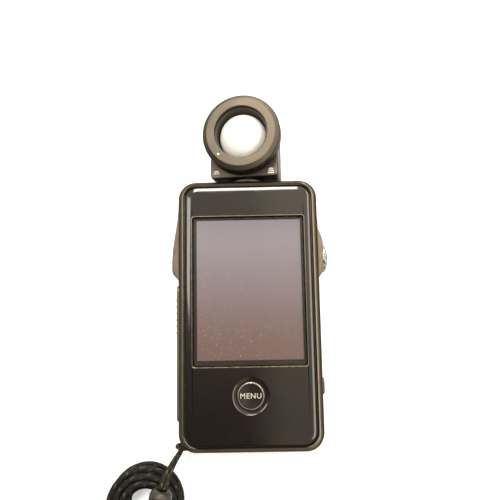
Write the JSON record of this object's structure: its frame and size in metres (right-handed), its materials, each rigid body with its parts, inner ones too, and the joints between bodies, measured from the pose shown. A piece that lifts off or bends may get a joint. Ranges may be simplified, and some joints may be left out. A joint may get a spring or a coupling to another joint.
{
  "type": "light meter",
  "caption": "Hand-held light meter with a touch screen, a swivelling head, a dome that a knurled ring raises and lowers, side keys and a corded wrist loop.",
  "frame": {"origin": "on the flat back face, under the middle of the meter's own length with its head, and on the case's centre line", "axes": "+Z out of the screen, +Y along the meter towards its swivelling head, +X towards the side with the measuring key"},
  "size_m": [0.0889, 0.1749, 0.0277],
  "materials": {
    "front_plastic": "matte, grey-brown metallic paint",
    "rear_plastic": "matte",
    "gloss_panel": "gloss black",
    "screen_glass": "clear, glossy",
    "display_module": "unlit grey display",
    "circuit_board": "green solder mask",
    "black_plastic": "matte black",
    "grip_rubber": "matte, finely textured",
    "silver_key": "silver, fine pebble texture",
    "steel": "plated",
    "battery_sleeve": "plain sleeve",
    "white_dome": "translucent white",
    "braid": "black braided cord",
    "ferrule_metal": "smooth, pale olive metallic"
  },
  "bodies": {
    "meter": {"battery_1": "battery_sleeve", "battery_2": "battery_sleeve", "battery_bridge": "steel", "battery_contact_1": "steel", "battery_contact_2": "steel", "buzzer": "black_plastic", "case_screw_1": "steel", "case_screw_2": "steel", "case_screw_3": "steel", "case_screw_4": "steel", "display_module": "display_module", "front_case": "front_plastic", "front_panel": "gloss_panel", "grip_left": "grip_rubber", "grip_right": "grip_rubber", "loop_cord": "braid", "main_board": "circuit_board", "neck_cord": "braid", "rear_case": "rear_plastic", "screen_glass": "screen_glass", "socket_strip": "front_plastic", "strap_ferrule": "ferrule_metal", "swivel_collar": "black_plastic", "sync_socket": "steel", "usb_socket": "steel"},
    "head": {"head_block": "front_plastic", "head_rear_cover": "black_plastic", "swivel_shaft": "steel", "light_sensor": "black_plastic", "guide_barrel": "black_plastic"},
    "ring": {"retracting_ring": "front_plastic"},
    "dome": {"dome_carrier": "black_plastic", "light_dome": "white_dome"},
    "menu_button": {"menu_key": "gloss_panel"},
    "measure_button": {"measure_key": "silver_key"},
    "memory_button": {"memory_key": "black_plastic"},
    "power_button": {"power_key": "black_plastic"},
    "door": {"battery_door": "rear_plastic"},
    "usb_cover": {"usb_flap": "grip_rubber"},
    "sync_cover": {"sync_cap": "grip_rubber"}
  },
  "joints": [
    {"name": "head_swivel", "type": "hinge", "parent": "meter", "child": "head", "pos_m": [0, 0.0384, 0.01], "axis": [0, 1, 0], "range_deg": [-82, 188]},
    {"name": "ring_turn", "type": "hinge", "parent": "head", "child": "ring", "pos_m": [-0.00223, 0.0545, 0.02584], "axis": [-0.1392, 0, 0.9903], "range_deg": [0, 90]},
    {"name": "dome_lift", "type": "slide", "parent": "head", "child": "dome", "axis": [-0.1392, 0, 0.9903], "range_m": [0, 0.0075]},
    {"name": "menu_press", "type": "slide", "parent": "meter", "child": "menu_button", "axis": [0, 0, -1], "range_m": [0, 0.0006], "stiffness_N_per_m": 500},
    {"name": "measure_press", "type": "slide", "parent": "meter", "child": "measure_button", "axis": [-1, 0, 0], "range_m": [0, 0.0008], "stiffness_N_per_m": 500},
    {"name": "memory_press", "type": "slide", "parent": "meter", "child": "memory_button", "axis": [-1, 0, 0], "range_m": [0, 0.0008], "stiffness_N_per_m": 500},
    {"name": "power_press", "type": "slide", "parent": "meter", "child": "power_button", "axis": [-1, 0, 0], "range_m": [0, 0.0008], "stiffness_N_per_m": 500},
    {"name": "door_slide", "type": "slide", "parent": "meter", "child": "door", "axis": [0, -1, 0], "range_m": [0, 0.008]},
    {"name": "usb_cover_hinge", "type": "hinge", "parent": "meter", "child": "usb_cover", "pos_m": [-0.0288, -0.0167, 0.0062], "axis": [0, -1, 0], "range_deg": [0, 110]},
    {"name": "sync_cover_hinge", "type": "hinge", "parent": "meter", "child": "sync_cover", "pos_m": [-0.0288, -0.045, 0.0056], "axis": [0, -1, 0], "range_deg": [0, 110]}
  ],
  "couplings": [
    {"joint": "dome_lift", "follows": "ring_turn", "m_per_rad": 0.0047746}
  ]
}
